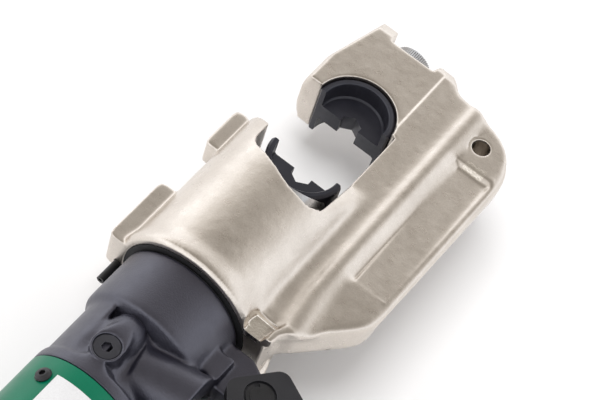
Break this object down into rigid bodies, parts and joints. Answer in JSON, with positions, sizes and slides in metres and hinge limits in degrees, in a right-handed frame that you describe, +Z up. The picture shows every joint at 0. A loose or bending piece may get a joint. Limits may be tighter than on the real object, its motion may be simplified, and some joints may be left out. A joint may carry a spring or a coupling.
{
  "type": "hydraulic crimping tool",
  "caption": "Hand-pumped hydraulic crimping tool with a swivelling C-shaped head, exchangeable U dies, a sleeved fixed handle and a hinged pump handle.",
  "frame": {"origin": "centre of the upper die's round seat, on the ram axis and in the head's middle plane", "axes": "+X along the ram towards the tip of the head, +Y out of the C's mouth, +Z up from the head's flat side, with the tool lying on its side"},
  "size_m": [0.616, 0.3955, 0.085],
  "materials": {
    "head_nickel": "satin nickel plate over a shot-blasted forging",
    "die_black": "black oxide",
    "body_grey": "dark grey semi-matt paint on a casting",
    "sleeve_green": "green satin plastic",
    "plate_white": "plain white film",
    "steel": "ground steel",
    "black_steel": "black oxide",
    "liner_steel": "phosphated steel",
    "tube_grey": "dark anodised tube",
    "grip_rubber": "matt rubber",
    "seal_rubber": "smooth rubber",
    "plug_aluminium": "turned"
  },
  "bodies": {
    "root": {"pump_body": "body_grey", "cylinder_liner": "liner_steel", "head_retaining_ring": "steel", "spring_rod": "steel", "valve_plugs": "black_steel", "valve_balls": "steel", "valve_springs": "steel", "gland_nut": "steel", "plunger_seal": "seal_rubber", "reservoir_sleeve": "sleeve_green", "sleeve_screws": "black_steel", "label_plate": "plate_white", "reservoir_bladder": "seal_rubber", "sleeve_end_plug": "plug_aluminium", "fixed_handle_tube": "tube_grey", "fixed_handle_grip": "grip_rubber", "fixed_handle_cap": "grip_rubber", "release_hinge_pin": "steel"},
    "head": {"c_head": "head_nickel", "upper_die": "die_black", "head_stop_pin": "black_steel", "head_dust_seal": "seal_rubber", "button_collar": "steel", "ram_wiper": "seal_rubber", "ram_guide_screw": "black_steel", "button_spring": "steel"},
    "ram": {"ram": "steel", "piston_seal": "seal_rubber", "spring_washer": "steel", "lower_die": "die_black", "die_detent": "steel", "return_spring": "steel"},
    "button": {"die_release_button": "steel"},
    "handle": {"handle_clevis": "body_grey", "pivot_pin": "black_steel", "pivot_rings": "black_steel", "drive_pin": "steel", "drive_rings": "black_steel", "moving_handle_tube": "tube_grey", "moving_handle_grip": "grip_rubber", "moving_handle_cap": "grip_rubber", "handle_roll_pin": "black_steel"},
    "plunger": {"pump_plunger": "steel"},
    "release": {"release_lever": "black_steel"},
    "release_valve": {"release_pin": "steel", "release_spring": "steel"}
  },
  "joints": [
    {"name": "head_swivel", "type": "hinge", "parent": "root", "child": "head", "pos_m": [-0.1, 0, 0], "axis": [1, 0, 0], "range_deg": [-150, 172]},
    {"name": "ram_slide", "type": "slide", "parent": "head", "child": "ram", "axis": [1, 0, 0], "range_m": [0, 0.0416], "stiffness_N_per_m": 700, "springref_m": -0.04, "deforming": ["return_spring"]},
    {"name": "button_press", "type": "slide", "parent": "head", "child": "button", "axis": [-1, 0, 0], "range_m": [0, 0.004], "stiffness_N_per_m": 1500, "springref_m": -0.004, "deforming": ["button_spring"]},
    {"name": "handle_swing", "type": "hinge", "parent": "root", "child": "handle", "pos_m": [-0.166, -0.063, 0], "axis": [0, 0, 1], "range_deg": [-51, 11]},
    {"name": "plunger_slide", "type": "slide", "parent": "root", "child": "plunger", "axis": [0, -1, 0], "range_m": [-0.0175, 0.004]},
    {"name": "release_press", "type": "hinge", "parent": "root", "child": "release", "pos_m": [-0.2074, -0.039, 0], "axis": [0, 0, 1], "range_deg": [-6, 0], "stiffness_Nm_per_rad": 0.6, "springref_deg": 8.59},
    {"name": "release_pin_slide", "type": "slide", "parent": "root", "child": "release_valve", "axis": [0, 1, 0], "range_m": [0, 0.0008], "deforming": ["release_spring"]}
  ],
  "couplings": [
    {"joint": "plunger_slide", "follows": "handle_swing", "m_per_rad": 0.01936},
    {"joint": "release_pin_slide", "follows": "release_press", "m_per_rad": -0.006966}
  ]
}
